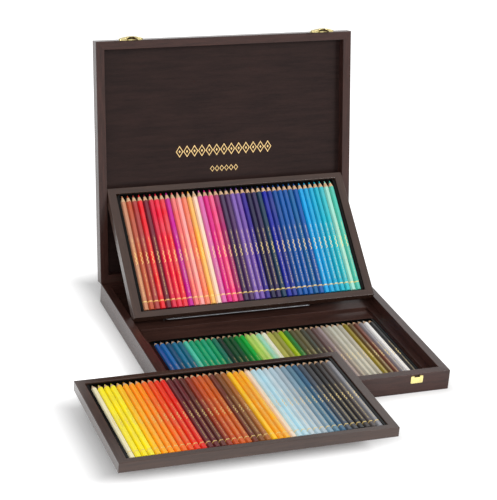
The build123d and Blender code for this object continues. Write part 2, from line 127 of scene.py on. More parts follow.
# %% Helpers for numbers, colours and noise
def maths(tree, operation, a, b=0.0, c=0.0):
    """One sum on numbers or sockets."""
    return put(tree, "ShaderNodeMath", {0: a, 1: b, 2: c}, operation=operation).outputs[0]


def span(tree, value, low, high, to_low=0.0, to_high=1.0):
    """Carry a value from one range to another, held at the ends."""
    inputs = {"Value": value, "From Min": low, "From Max": high, "To Min": to_low, "To Max": to_high}
    return put(tree, "ShaderNodeMapRange", inputs).outputs[0]


def blend_colour(tree, share, a, b):
    """Mix two colours by a share."""
    return put(tree, "ShaderNodeMix", {0: share, 6: a, 7: b}, data_type="RGBA").outputs[2]


def noise(tree, point, scale, detail, **more):
    """Soft noise at a point, from nought to one."""
    inputs = {"Vector": point, "Scale": scale, "Detail": detail, **more}
    return put(tree, "ShaderNodeTexNoise", inputs).outputs[0]


print("number, colour and noise helpers ready")


# %% [markdown]
# ## Shader groups
# Grain and uneven gloss turn up in many materials, and worn foil is easier to read on its own. They
# could be copied into each tree, but then a change has to be made in every copy. A shader group is
# built once, with named inputs and outputs, and placed with its own values wherever it is needed.

# %% Group helpers
def new_group(name, inputs, outputs):
    """An empty shader group with named sockets. Returns the tree and its two end nodes."""
    kinds = {"vector": "NodeSocketVector", "colour": "NodeSocketColor", "number": "NodeSocketFloat"}
    tree = bpy.data.node_groups.new(name, "ShaderNodeTree")
    for label, (kind, default) in inputs.items():
        socket = tree.interface.new_socket(name=label, in_out="INPUT", socket_type=kinds[kind])
        socket.default_value = default
    for label, kind in outputs.items():
        tree.interface.new_socket(name=label, in_out="OUTPUT", socket_type=kinds[kind])
    return tree, put(tree, "NodeGroupInput"), put(tree, "NodeGroupOutput")


def use_group(tree, group, **inputs):
    """Place a group in a tree and feed its named inputs."""
    return put(tree, "ShaderNodeGroup", inputs, node_tree=group)


print("group helpers ready")


# %% [markdown]
# ## Shared effect 1: wood grain
# Stained wood shows long streaks of light and dark, and fine short pores that run the same way. A
# Wave texture could draw them, but its bands are too even for this wood. Noise that is stretched along
# one axis gives both. The group takes the point already turned, so one group serves a rail in any
# direction, and it puts out a colour, a height and a roughness.

# %% Wood grain group
grain, source, sink = new_group(
    "wood grain",
    {"Point": ("vector", (0, 0, 0)), "Dark": ("colour", (0.02, 0.01, 0.01, 1)),
     "Light": ("colour", (0.05, 0.03, 0.02, 1)), "Streaks": ("number", 26.0), "Gloss": ("number", 0.4)},
    {"Colour": "colour", "Height": "number", "Roughness": "number"})
STREAK_STRETCH, PORE_STRETCH = (0.9, 9.0, 9.0), (7.0, 95.0, 95.0)
point = source.outputs["Point"]
long_point, short_point = [
    put(grain, "ShaderNodeVectorMath", {0: point, 1: stretch}, operation="MULTIPLY").outputs[0]
    for stretch in (STREAK_STRETCH, PORE_STRETCH)]
streak = noise(grain, long_point, source.outputs["Streaks"], 5.0, Roughness=0.62, Distortion=0.35)
pore = noise(grain, short_point, 22.0, 3.0, Roughness=0.7)
cloud = noise(grain, point, 9.0, 2.0)
streak_share = span(grain, streak, 0.32, 0.72)
pore_share = span(grain, pore, 0.38, 0.62)
share = maths(grain, "MULTIPLY_ADD", streak_share, 0.62, maths(grain, "MULTIPLY", pore_share, 0.26))
share = maths(grain, "ADD", share, span(grain, cloud, 0.3, 0.7, -0.1, 0.12))
uneven = span(grain, pore, 0.35, 0.65, 0.07, -0.05)
feed(grain, sink, {
    "Colour": blend_colour(grain, share, source.outputs["Dark"], source.outputs["Light"]),
    "Height": maths(grain, "ADD", pore_share, streak_share),
    "Roughness": maths(grain, "ADD", source.outputs["Gloss"], uneven)})
print("group:", grain.name, "nodes:", len(grain.nodes))


# %% [markdown]
# ## Shared effect 2: a handled surface
# Plastic, brass, steel and lacquer are never evenly smooth. Soft blotches of finger grease change
# the gloss over centimetres, and a fine tooth breaks up the highlights. One fixed roughness would look
# like no real material. Two noises do better, and every smooth material below places the group with
# its own scale and roughness.

# %% Handled surface group
handled, source, sink = new_group(
    "handled surface",
    {"Point": ("vector", (0, 0, 0)), "Blotches": ("number", 30.0), "Tooth": ("number", 900.0),
     "Roughness": ("number", 0.3), "Spread": ("number", 0.1)},
    {"Roughness": "number", "Height": "number"})
blotch = noise(handled, source.outputs["Point"], source.outputs["Blotches"], 4.0)
tooth = noise(handled, source.outputs["Point"], source.outputs["Tooth"], 2.0)
swing = maths(handled, "MULTIPLY", maths(handled, "SUBTRACT", blotch, 0.5), source.outputs["Spread"])
level = maths(handled, "ADD", source.outputs["Roughness"], maths(handled, "MULTIPLY", swing, 2.0))
feed(handled, sink, {"Roughness": level, "Height": tooth})
print("group:", handled.name, "nodes:", len(handled.nodes))


# %% [markdown]
# ## Starting a material
# Every finish on the object starts with one Principled shader, and most end with a little relief. A
# colour is written as a web colour, which is easy to read off any colour picker, but Blender's sockets
# want linear numbers. So paint turns one into the other.

# %% Material helpers
def paint(code):
    """A colour written as a web colour, as Blender's linear red, green, blue and alpha."""
    channels = [int(code[i:i + 2], 16) / 255 for i in (0, 2, 4)]
    return tuple(c / 12.92 if c <= 0.04045 else ((c + 0.055) / 1.055) ** 2.4 for c in channels) + (1.0,)


def bare_tree(owner):
    """The emptied node tree of a material or a world."""
    owner.use_nodes = True
    owner.node_tree.nodes.clear()
    return owner.node_tree


def new_material(name):
    """A material that holds one Principled shader, its output and the point that it is asked about."""
    material = bpy.data.materials.new(name)
    tree = bare_tree(material)
    shader = put(tree, "ShaderNodeBsdfPrincipled")
    put(tree, "ShaderNodeOutputMaterial", {"Surface": shader.outputs[0]})
    place = put(tree, "ShaderNodeTexCoord").outputs["Object"]
    return material, tree, shader, place


def bump(tree, height, strength, distance):
    """The normal of a surface with small relief. The distance is in millimetres."""
    inputs = {"Height": height, "Strength": strength, "Distance": distance * MM}
    return put(tree, "ShaderNodeBump", inputs).outputs[0]


print("walnut as linear numbers:", [round(c, 3) for c in paint("80502f")])


# %% [markdown]
# ## Varnished wood
# The case is stained a dark reddish brown under a satin varnish. The grain runs along each rail, so
# a mitred corner shows where two grains meet. A Mapping node first turns the point: tilted pieces
# are turned back to flat, and cross rails a quarter turn. The varnish could be a lower roughness of the
# wood itself. It is the shader's coat instead, because real varnish lies over a duller stain, and the
# panels and boards take a thinner coat than the rails.

# %% Wood materials
def varnished_wood(name, dark, light, tilt=0.0, across=False, gloss=0.42, streaks=26.0, coat=1.0):
    """Dark wood whose grain runs along X, or along Y when across is set, on a piece tilted about X."""
    material, tree, shader, place = new_material(name)
    flat = put(tree, "ShaderNodeMapping", {"Vector": place, "Rotation": (-tilt, 0, 0)}).outputs[0]
    if across:
        flat = put(tree, "ShaderNodeMapping", {
            "Vector": flat, "Rotation": (0, 0, math.radians(90)),
            "Location": (0.37, 0.11, 0.05)}).outputs[0]
    wood = use_group(tree, grain, Point=flat, Dark=paint(dark), Light=paint(light),
                     Streaks=streaks, Gloss=gloss)
    feed(tree, shader, {
        "Base Color": wood.outputs["Colour"], "Roughness": wood.outputs["Roughness"],
        "Specular IOR Level": 0.06, "Coat Weight": coat, "Coat IOR": 1.46, "Coat Roughness": 0.2,
        "Normal": bump(tree, wood.outputs["Height"], 0.25, 0.06)})
    return material


print("wood material helper ready")


# %% The woods
CASE_DARK, CASE_LIGHT = "271612", "482c26"
TRAY_DARK, TRAY_LIGHT = "2b1b15", "483228"
BOARD_DARK, BOARD_LIGHT = "2b1a16", "4c322b"
PANEL_DARK, PANEL_LIGHT = "1d1312", "32221f"

woods = {
    "case_along": varnished_wood("case wood along", CASE_DARK, CASE_LIGHT, coat=0.7),
    "case_across": varnished_wood("case wood across", CASE_DARK, CASE_LIGHT, across=True),
    "case_board": varnished_wood("case board", BOARD_DARK, BOARD_LIGHT, streaks=15.0, coat=0.3),
    "lid_along": varnished_wood("lid wood along", CASE_DARK, CASE_LIGHT, tilt=-LID_OPEN, coat=0.7),
    "lid_across": varnished_wood("lid wood across", CASE_DARK, CASE_LIGHT, tilt=-LID_OPEN, across=True,
                                 coat=0.7),
    "lid_panel": varnished_wood("lid panel wood", PANEL_DARK, PANEL_LIGHT, tilt=-LID_OPEN,
                                gloss=0.5, streaks=18.0, coat=0.15),
    "tray_along": varnished_wood("tray wood along", TRAY_DARK, TRAY_LIGHT),
    "tray_across": varnished_wood("tray wood across", TRAY_DARK, TRAY_LIGHT, across=True),
    "upper_along": varnished_wood("upper tray wood along", TRAY_DARK, TRAY_LIGHT, tilt=LEAN),
    "upper_across": varnished_wood("upper tray wood across", TRAY_DARK, TRAY_LIGHT, tilt=LEAN,
                                   across=True),
}
print("woods:", len(woods))


# %% [markdown]
# ## Moulded plastic and metals
# The pencil beds are glossy black mouldings. The keepers and the latches are one polished brass in two
# copies: the keepers' paler, a painted highlight for their bright face, and the latches' darker,
# painted shade for the dark wood that they reflect. The hinges, mostly out of sight, are a duller
# brass. The rest for the leaning tray is a steel wire.
# Each could have a tree of its own, but they differ in their numbers alone. So one function makes them
# all, with one Principled shader each and the shared group for an uneven gloss.

# %% Plastic and metal materials
def smooth_material(name, colour, metallic, roughness, spread, blotches=30.0, specular=0.5):
    """A smooth material with handled gloss, a little deeper in colour here and there."""
    material, tree, shader, place = new_material(name)
    surface = use_group(tree, handled, Point=place, Blotches=blotches, Roughness=roughness,
                        Spread=spread)
    share = span(tree, noise(tree, place, blotches * 2, 3.0), 0.35, 0.65)
    base = paint(colour)
    deep = tuple(c * 0.82 for c in base[:3]) + (1.0,)
    feed(tree, shader, {
        "Base Color": blend_colour(tree, share, deep, base), "Metallic": metallic,
        "Specular IOR Level": specular, "Roughness": surface.outputs["Roughness"],
        "Normal": bump(tree, surface.outputs["Height"], 0.08, 0.03)})
    return material


moulding = smooth_material("black moulding", "0b0c0b", 0.0, 0.16, 0.06, specular=0.12)
# One brass in two copies: the keepers' painted paler as a highlight, the latches' painted darker as
# shade.
brass = smooth_material("polished brass", "f6e89c", 1.0, 0.2, 0.1, blotches=120.0)
latch_brass_painted_darker = smooth_material("latch brass painted darker", "d8c990", 1.0, 0.13, 0.08, blotches=120.0)
hinge_brass = smooth_material("dull brass", "d2b46a", 1.0, 0.34, 0.12, blotches=120.0)
steel = smooth_material("bright steel wire", "7c7e82", 1.0, 0.38, 0.08, blotches=80.0)
foil = smooth_material("gold foil", "ecc98c", 1.0, 0.36, 0.12, blotches=200.0)
print("smooth materials:", [m.name for m in (moulding, brass, latch_brass_painted_darker, hinge_brass, steel, foil)])


# %% [markdown]
# ## Dress the CAD nodes
# The walls, rails, boards, beds and metal fittings keep their CAD mesh, and each gets its material.
# That could take one line for each node. The nodes' names follow a rule, so loops over the words in a
# name are shorter, and forget none.

# %% Dress the wooden nodes
def dress(name, material):
    """Give a CAD node one material."""
    node = nodes[name]
    node.data.materials.clear()
    node.data.materials.append(material)


for group, prefix, tail in (("case", "case", "wall"), ("lid", "lid", "rail"),
                            ("tray", "middle_tray", "rail"), ("upper", "upper_tray", "rail")):
    for side in ("front", "rear"):
        dress(f"{prefix}_{side}_{tail}", woods[group + "_along"])
    for side in ("left", "right"):
        dress(f"{prefix}_{side}_{tail}", woods[group + "_across"])
for name in ("case_floor_panel", "rear_platform", "step_board"):
    dress(name, woods["case_board"])
for name in ("left_ledge_strip", "right_ledge_strip"):
    dress(name, woods["case_across"])
dress("lid_panel", woods["lid_panel"])
dress("middle_tray_bottom_panel", woods["tray_along"])
dress("upper_tray_bottom_panel", woods["upper_along"])
print("wooden nodes dressed")


# %% Dress the plastic and metal nodes
for name in nodes:
    if name.endswith("insert"):
        dress(name, moulding)
    elif name.startswith("keeper"):
        dress(name, brass)
    elif name.startswith("latch"):
        dress(name, latch_brass_painted_darker)
    elif name.startswith("hinge"):
        dress(name, hinge_brass)
dress("wire_tray_rest", steel)
print("plastic and metal nodes dressed")


# %% [markdown]
# ## The pencil's shape
# A pencil is a hexagonal barrel sharpened by a cone. Where the cone cuts the flats, the paint ends in
# six scallops. A Boolean could cut the cone, but it leaves long thin faces. Rings of points give the
# same edge with a few dozen faces, which counts on a shape that is repeated. Each ring follows the
# hexagon's radius at its own angle, and the scalloped ring steps back where that radius is larger.
# SLOPE is how much radius the cone loses in each millimetre, and CORNER_TURN is half the width of a
# rounded corner, in degrees. GAP is the air between two pencils in a row.

# %% Pencil sizes
FLATS = 7.0
LENGTH = 177.0
SLOPE = 0.31
TIP_RADIUS = 0.45
CORE_RADIUS = 1.65
CORNER_TURN = 6.0
BUTT_INSET, BUTT_LENGTH, TIP_ROUNDING = 0.25, 0.35, 0.25
GAP = 0.08
PITCH = FLATS / math.cos(math.radians(30)) + GAP
COUNT = 40
FLAT_STEPS = (CORNER_TURN, 18, 30, 42, 60 - CORNER_TURN)


def flat_radius(angle):
    """The hexagon's radius at an angle in degrees, with corners at 0, 60 and so on."""
    return FLATS / 2 / math.cos(math.radians((angle % 60) - 30))


def ring_angles():
    """Points round the pencil: two on each rounded corner and three across each flat."""
    return [60 * side + step for side in range(6) for step in FLAT_STEPS]


def ring(angles, radius, along):
    """A ring of points. The radius and the distance along can each follow the angle."""
    points = []
    for angle in angles:
        r = radius(angle) if callable(radius) else radius
        y = along(angle) if callable(along) else along
        a = math.radians(angle)
        points.append(Vector((r * math.cos(a), y, r * math.sin(a))) * MM)
    return points


def sharpened(angle):
    """How far along the pencil the cone meets the barrel at an angle."""
    return LENGTH - (flat_radius(angle) - TIP_RADIUS) / SLOPE


print("pitch", round(PITCH, 3), "scallop depth", round(sharpened(30) - sharpened(CORNER_TURN), 2), "mm")


# %% [markdown]
# ## From rings to meshes
# A lofted skin has faces that join one ring to the next. Bridge Edge Loops does the same by hand, and
# here it is written out, because the barrel also needs a map for the gold marks along one flat: U
# counts round the pencil in flats, and V is the distance from the butt in millimetres. Rings may turn
# either way, so doubles are merged and the normals are made to point outwards at the end.

# %% Loft helper
def lap(index, count):
    """The place of a ring's point, counted in flats round the pencil."""
    side, step = divmod(index, len(FLAT_STEPS))
    if count == 6 * len(FLAT_STEPS):
        return side + FLAT_STEPS[step] / 60
    return index * 6 / count


def loft(name, rings, cap_start=False, cap_end=False, with_map=False):
    """Join rings of equal count with quads. Returns an object that stays out of the scene."""
    count = len(rings[0])
    points = [p for one in rings for p in one]
    faces, maps = [], []
    for level in range(len(rings) - 1):
        for i in range(count):
            j = (i + 1) % count
            a, b = level * count, (level + 1) * count
            faces.append((a + i, b + i, b + j, a + j))
            here, there = lap(i, count), lap(i + 1, count)
            corners = ((here, level, i), (here, level + 1, i), (there, level + 1, j), (there, level, j))
            maps.append([(across, rings[one][k].y / MM) for across, one, k in corners])
    if cap_start:
        faces.append(tuple(range(count)))
        maps.append(tuple((-1.0, 0.0) for _ in range(count)))
    if cap_end:
        last = (len(rings) - 1) * count
        faces.append(tuple(reversed(range(last, last + count))))
        maps.append(tuple((-1.0, LENGTH) for _ in range(count)))
    mesh = bpy.data.meshes.new(name)
    mesh.from_pydata(points, [], faces)
    if with_map:
        layer = mesh.uv_layers.new(name="pencil_map")
        for polygon, corners in zip(mesh.polygons, maps):
            for loop, uv in zip(polygon.loop_indices, corners):
                layer.data[loop].uv = uv
    skin = bmesh.new()
    skin.from_mesh(mesh)
    bmesh.ops.remove_doubles(skin, verts=skin.verts, dist=1e-7)
    bmesh.ops.recalc_face_normals(skin, faces=skin.faces)
    skin.to_mesh(mesh)
    skin.free()
    return bpy.data.objects.new(name, mesh)


print("loft ready, with", len(FLAT_STEPS), "points on each flat")


# %% [markdown]
# ## The three meshes of one pencil
# A pencil shows three finishes: paint, bare wood and a coloured core. One mesh with three materials
# could carry them, but the tree that lays the rows sets one finish on each piece. So each finish is a
# closed mesh of its own, and the wood and the core each start a hair inside the mesh before.

# %% Paint, wood and core
angles = ring_angles()
round_angles = [i * 24 for i in range(15)]
core_start = LENGTH - (CORE_RADIUS - TIP_RADIUS) / SLOPE
paint_shape = loft("pencil paint shape", [
    ring(angles, lambda a: flat_radius(a) - BUTT_INSET, 0.0),
    ring(angles, flat_radius, BUTT_LENGTH),
    ring(angles, flat_radius, sharpened),
], cap_start=True, cap_end=True, with_map=True)
wood_shape = loft("pencil wood shape", [
    ring(angles, lambda a: flat_radius(a) - 0.03, sharpened),
    ring(angles, CORE_RADIUS + 0.02, core_start - 0.05),
], cap_start=True, cap_end=True)
core_shape = loft("pencil core shape", [
    ring(round_angles, CORE_RADIUS, core_start - 0.1),
    ring(round_angles, TIP_RADIUS, LENGTH - TIP_ROUNDING),
    ring(round_angles, TIP_RADIUS * 0.45, LENGTH),
], cap_start=True, cap_end=True)
for shape in (paint_shape, wood_shape, core_shape):
    print(shape.name, len(shape.data.polygons), "faces")


# %% [markdown]
# ## A row of pieces with Geometry Nodes
# A hundred and twenty pencils could be copied one by one, but a rule is shorter and forgets none. The
# Geometry Nodes tree takes a mesh whose points say where each pencil lies and what colour it has, puts
# one piece on each point and slides it a little along its bed. The same seed gives the paint, wood and
# core the same slide. The screws, nails and foil ornament come from the same tree, and the screws are
# also rolled.

# %% Geometry Nodes tree
def either_way(tree, most, seed):
    """A random number for each point, between minus the most and the most."""
    least = maths(tree, "MULTIPLY", most, -1.0)
    node = put(tree, "FunctionNodeRandomValue", {2: least, 3: most, "Seed": seed}, data_type="FLOAT")
    return node.outputs[1]


def row_tree():
    """Build the tree that sets pieces on points."""
    tree = bpy.data.node_groups.new("row of pieces", "GeometryNodeTree")
    tree.is_modifier = True
    inputs = {"Places": "Geometry", "Piece": "Object", "Slide": "Float", "Roll Steps": "Float",
              "Roll Axis": "Vector", "Seed": "Int", "Finish": "Material"}
    for label, kind in inputs.items():
        tree.interface.new_socket(name=label, in_out="INPUT", socket_type="NodeSocket" + kind)
    tree.interface.new_socket(name="Row", in_out="OUTPUT", socket_type="NodeSocketGeometry")
    start, end = put(tree, "NodeGroupInput"), put(tree, "NodeGroupOutput")

    piece = put(tree, "GeometryNodeObjectInfo", {"Object": start.outputs["Piece"]})
    slide = either_way(tree, start.outputs["Slide"], start.outputs["Seed"])
    offset = put(tree, "ShaderNodeCombineXYZ", {"Y": slide}).outputs[0]
    moved = put(tree, "GeometryNodeSetPosition", {
        "Geometry": start.outputs["Places"], "Offset": offset}).outputs[0]

    other_seed = maths(tree, "ADD", start.outputs["Seed"], 7.0)
    roll = either_way(tree, start.outputs["Roll Steps"], other_seed)
    turn = maths(tree, "MULTIPLY", maths(tree, "ROUND", roll), math.radians(60))
    rotation = put(tree, "ShaderNodeVectorMath", {
        0: start.outputs["Roll Axis"], "Scale": turn}, operation="SCALE").outputs[0]

    placed = put(tree, "GeometryNodeInstanceOnPoints", {
        "Points": moved, "Instance": piece.outputs["Geometry"], "Rotation": rotation}).outputs[0]
    real = put(tree, "GeometryNodeRealizeInstances", {"Geometry": placed}).outputs[0]
    finished = put(tree, "GeometryNodeSetMaterial", {
        "Geometry": real, "Material": start.outputs["Finish"]}).outputs[0]
    tree.links.new(finished, end.inputs["Row"])
    return tree


rows = row_tree()
socket_ids = {item.name: item.identifier for item in rows.interface.items_tree
              if item.in_out == "INPUT"}
print("tree:", rows.name, "inputs:", sorted(socket_ids))


# %% [markdown]
# ## Run the tree on a line of points
# The tree runs as a modifier on a helper object. The modifier could stay live, but a plain mesh is
# what the frame moves. So its inputs are set by each socket's identifier before the object
# is first evaluated, the result is copied to a plain mesh and carried to its tilted place, and the
# modifier goes away with its helper object.

# %% Run the tree
def set_pieces(name, places, piece, finish, matrix, slide=0.0, roll_steps=0.0,
               axis=(0.0, 1.0, 0.0), seed=1):
    """Put a piece on each point of a mesh, and return the result as one plain object."""
    helper = show(bpy.data.objects.new(name + "_places", places))
    modifier = helper.modifiers.new("row", "NODES")
    modifier.node_group = rows
    for label, value in (("Piece", piece), ("Slide", slide), ("Roll Steps", roll_steps),
                         ("Roll Axis", axis), ("Seed", seed), ("Finish", finish)):
        modifier[socket_ids[label]] = value
    bpy.context.view_layer.update()
    depsgraph = bpy.context.evaluated_depsgraph_get()
    mesh = bpy.data.meshes.new_from_object(helper.evaluated_get(depsgraph), depsgraph=depsgraph)
    mesh.transform(matrix)
    mesh.name = name
    helper.modifiers.remove(modifier)
    bpy.data.objects.remove(helper)
    print(name, len(mesh.polygons), "faces")
    return show(bpy.data.objects.new(name, mesh))


def place_mesh(name, points, colours=None):
    """A mesh of loose points, each with its colour when there are colours."""
    mesh = bpy.data.meshes.new(name)
    mesh.from_pydata(points, [], [])
    if colours:
        layer = mesh.attributes.new("pencil_colour", "FLOAT_COLOR", "POINT")
        for item, colour in zip(layer.data, colours):
            item.color = colour
    return mesh


print("ready to set pieces on points, with the tree", rows.name)


# %% [markdown]
# ## Forty colours in each row
# The rows run through the colour circle: reds to blues in the upper tray, yellows to greys in the
# middle one, and greens to earths in the case. A colour ramp could run through them, but neighbours in
# a real row jump in hue and in lightness. So each pencil has a name from a table of lacquers, and the
# rows are lists of names.

# %% Lacquer colours
lacquers = {
    "tan": "c58a6b", "terracotta": "b95a44", "brick rose": "a84a48", "bright red": "e5383f",
    "maroon": "702433", "crimson": "d9304a", "raspberry": "ea4256", "coral": "e4515a",
    "magenta": "c23a95", "salmon": "ee7e7c", "shell pink": "f7a8a4", "peach": "f08a72",
    "apricot": "f6bc6a", "pale cream": "f6d8c2", "orchid": "d873ae", "strong pink": "dc2e86",
    "hot pink": "f0608e", "plum": "a03a6c", "aubergine": "433050", "dark purple": "50335f",
    "lavender": "8062ab", "violet": "7657a4", "indigo": "3a2c86", "night blue": "211e3e",
    "slate violet": "32294f", "petrol navy": "1c3850", "indigo blue": "28309a",
    "ultramarine": "2c3a8a", "azure": "145aa2", "sea blue": "1270b4", "cobalt": "225094",
    "royal blue": "2058a0", "steel blue": "1f6098",
    "cyan": "10a0dc", "sky cyan": "22a2d2", "turquoise": "20a8cc", "aqua": "26b0c6",
    "light aqua": "46bcc4", "pale mint": "a4dccb", "sea green": "58c0ac",
    "ivory": "f4ebc4", "lemon": "fff03a", "yellow": "ffeb28", "golden": "ffc61e",
    "marigold": "ffb028", "mandarin": "ffa024", "orange": "fa9226", "tangerine": "f47228",
    "vermilion": "ee5626", "scarlet": "e83c22", "red": "e22d22", "oxblood": "5e2024",
    "chestnut": "5c2820", "brown": "6a3426", "burnt orange": "c4542a", "sienna": "d2622e",
    "rust": "c4602e", "red brown": "963c2a", "walnut": "80502f", "light brown": "aa6c3e",
    "ochre": "f2a62a", "light ochre": "fabc4c", "cream": "f4e0c8",
    "ice blue": "c2e2ec", "mist": "c8d8de", "silver blue": "b8ccd6", "light grey": "aebcc4",
    "grey blue": "86a0b0", "dusk blue": "5f8296", "denim": "3e6480",
    "dark grey": "444e5a", "charcoal": "3c3c3e", "black": "161516", "brown black": "2c2624",
    "warm grey": "4a4240", "grey": "88888c",
    "deep teal": "0e567a", "teal blue": "0e789c", "teal": "0e6c84", "light emerald": "5accb0",
    "emerald": "0ca87c", "viridian": "00a872", "grass": "0aa068", "pine green": "107860",
    "black green": "16382e", "bottle green": "14502f", "leaf green": "0c8838",
    "bright green": "16ae40", "light lime": "b8dc6c", "lime cream": "cae888", "mint": "aae4c8",
    "milk": "f6f4dc", "olive yellow": "b4b45e", "olive": "9a9a52", "lime": "a8c42c",
    "fern": "3c7e40", "olive brown": "5e5a3c", "khaki": "6e6848",
    "dark olive": "4c4c3e", "brown grey": "5a4e44", "mauve brown": "6a5450", "mauve": "a08e8c",
    "beige grey": "aca294", "ivory grey": "ccc8b8", "silver beige": "beb8a6",
    "old gold": "94801c", "bronze": "6c5434", "copper": "744434", "silver grey": "918c90",
    "white": "fbf8f4",
}
upper_row = [
    "tan", "terracotta", "brick rose", "bright red", "maroon", "crimson", "raspberry", "coral",
    "magenta", "salmon", "shell pink", "peach", "apricot", "pale cream", "orchid", "strong pink",
    "hot pink", "plum", "aubergine", "dark purple", "lavender", "violet", "indigo", "night blue",
    "slate violet", "petrol navy", "indigo blue", "ultramarine", "cobalt", "royal blue",
    "royal blue", "steel blue", "royal blue", "cyan", "sky cyan", "turquoise", "aqua",
    "light aqua", "pale mint", "sea green"]
middle_row = [
    "ivory", "lemon", "yellow", "lemon", "golden", "marigold", "mandarin", "orange", "tangerine",
    "vermilion", "scarlet", "red", "oxblood", "oxblood", "chestnut", "red brown", "burnt orange",
    "sienna", "rust", "brown", "walnut", "light brown", "golden", "ochre", "light ochre", "cream",
    "ice blue", "ice blue", "mist", "silver blue", "light grey", "grey blue", "dusk blue", "denim",
    "dark grey", "charcoal", "black", "brown black", "warm grey", "grey"]
case_row = [
    "azure", "sea blue", "deep teal", "teal blue", "teal", "light emerald", "emerald", "viridian",
    "emerald", "grass", "pine green", "black green", "bottle green", "bottle green", "leaf green",
    "bright green", "light lime", "lime cream", "mint", "milk", "olive yellow", "olive", "lime",
    "fern", "olive brown", "khaki", "dark olive", "brown grey", "mauve brown",
    "mauve", "beige grey", "ivory grey", "ivory grey", "silver beige", "old gold", "bronze",
    "copper", "silver grey", "white", "black"]
print("colours:", len(lacquers), "in rows of", len(upper_row), len(middle_row), len(case_row))


# %% [markdown]
# ## Shared effect 3: worn foil
# Foil that is pressed on lacquer loses specks where fingers rub it. The wear could be drawn into each
# mark, but one fine noise does for all. The group takes any mask and gives back what the wear leaves.

# %% Worn foil group
worn_foil, source, sink = new_group(
    "worn foil", {"Mask": ("number", 0.0), "Point": ("vector", (0, 0, 0)), "Wear": ("number", 0.2)},
    {"Mask": "number"})
specks = noise(worn_foil, source.outputs["Point"], 1400.0, 2.0)
kept = span(worn_foil, specks, maths(worn_foil, "MULTIPLY", source.outputs["Wear"], 0.9),
            maths(worn_foil, "MULTIPLY_ADD", source.outputs["Wear"], 0.9, 0.25))
feed(worn_foil, sink, {"Mask": maths(worn_foil, "MULTIPLY", source.outputs["Mask"], kept)})
print("group:", worn_foil.name, "nodes:", len(worn_foil.nodes))


# %% [markdown]
# ## Foil marks
# Near the butt of each pencil there is a gold ring. Along one flat runs a line of gold foil: small
# dashes, a wavy flourish and dashes again. A picture could hold these marks, but it turns soft in a
# close view. The map on the barrel says where each flat and each millimetre is, so the foil is drawn by
# sums on it. MARKED_FLAT is the middle of the flat that lies on top.

# %% Foil marks on the barrel's map
MARKED_FLAT = 1.5
RING_ALONG = (10.9, 12.7)
DASHES_ALONG = ((19.0, 66.0), (89.0, 110.0))
FLOURISH_ALONG = (68.0, 87.0)
DASH_HALF_WIDTH, DASH_SCALE, DASH_BREAK, DASH_STRENGTH = 0.13, 0.62, 0.47, 0.65
WAVE_HALF_WIDTH, WAVE_HEIGHT, WAVE_TURN = 0.17, 0.2, 0.95


def between(tree, value, low, high):
    """One where a value lies between two others, else nought."""
    above = maths(tree, "GREATER_THAN", value, low)
    below = maths(tree, "LESS_THAN", value, high)
    return maths(tree, "MULTIPLY", above, below)


def foil_marks(tree, across, along):
    """A mask of the ring, two lines of dashes and the flourish, on the flat that lies on top."""
    centre = maths(tree, "SUBTRACT", across, MARKED_FLAT)
    line = between(tree, centre, -DASH_HALF_WIDTH, DASH_HALF_WIDTH)
    place = put(tree, "ShaderNodeCombineXYZ", {"X": along}).outputs[0]
    breaks = noise(tree, place, DASH_SCALE, 1.0)
    dashes = maths(tree, "MULTIPLY", line, maths(tree, "GREATER_THAN", breaks, DASH_BREAK))
    zones = maths(tree, "ADD", *[between(tree, along, *zone) for zone in DASHES_ALONG])
    dashes = maths(tree, "MULTIPLY", dashes, maths(tree, "MULTIPLY", zones, DASH_STRENGTH))
    turned = maths(tree, "SINE", maths(tree, "MULTIPLY", along, WAVE_TURN))
    wave = maths(tree, "MULTIPLY", turned, WAVE_HEIGHT)
    stray = maths(tree, "ABSOLUTE", maths(tree, "SUBTRACT", centre, wave))
    on_wave = maths(tree, "LESS_THAN", stray, WAVE_HALF_WIDTH)
    flourish = maths(tree, "MULTIPLY", on_wave, between(tree, along, *FLOURISH_ALONG))
    marks = maths(tree, "ADD", maths(tree, "ADD", dashes, flourish), between(tree, along, *RING_ALONG))
    return maths(tree, "MINIMUM", marks, 1.0)


print("foil from", RING_ALONG[0], "to", DASHES_ALONG[-1][1], "mm along the barrel")


# %% [markdown]
# ## Lacquer
# All hundred and twenty barrels share one material. Each could have its own, but the row tree already
# hands every piece the colour of its point, so the material only has to read it. The foil lies over
# the lacquer as a yellow metal and stands a hair above it.

# %% Lacquer material
def lacquer_material():
    """Coloured lacquer with foil marks, for all three rows."""
    material, tree, shader, place = new_material("pencil lacquer")
    own = put(tree, "ShaderNodeAttribute", attribute_name="pencil_colour").outputs["Color"]
    parts = put(tree, "ShaderNodeSeparateXYZ", {
        0: put(tree, "ShaderNodeUVMap", uv_map="pencil_map").outputs[0]})
    mask = use_group(tree, worn_foil, Point=place, Wear=0.32,
                     Mask=foil_marks(tree, parts.outputs[0], parts.outputs[1])).outputs[0]
    surface = use_group(tree, handled, Point=place, Blotches=60.0, Tooth=700.0, Roughness=0.38,
                        Spread=0.08)
    share = span(tree, noise(tree, place, 45.0, 2.0), 0.35, 0.65)
    vivid = put(tree, "ShaderNodeHueSaturation", {"Color": own, "Saturation": 1.1, "Value": 1.05})
    deep = put(tree, "ShaderNodeHueSaturation", {"Color": own, "Value": 0.96})
    body = blend_colour(tree, share, deep.outputs[0], vivid.outputs[0])
    raised = maths(tree, "MULTIPLY_ADD", mask, 1.5, surface.outputs["Height"])
    feed(tree, shader, {
        "Base Color": blend_colour(tree, mask, body, paint("f6d885")),
        "Metallic": maths(tree, "MULTIPLY", mask, 0.6), "Roughness": surface.outputs["Roughness"],
        "Coat Weight": 0.18, "Coat Roughness": 0.18, "Normal": bump(tree, raised, 0.1, 0.03)})
    return material


lacquer = lacquer_material()
print("material:", lacquer.name)


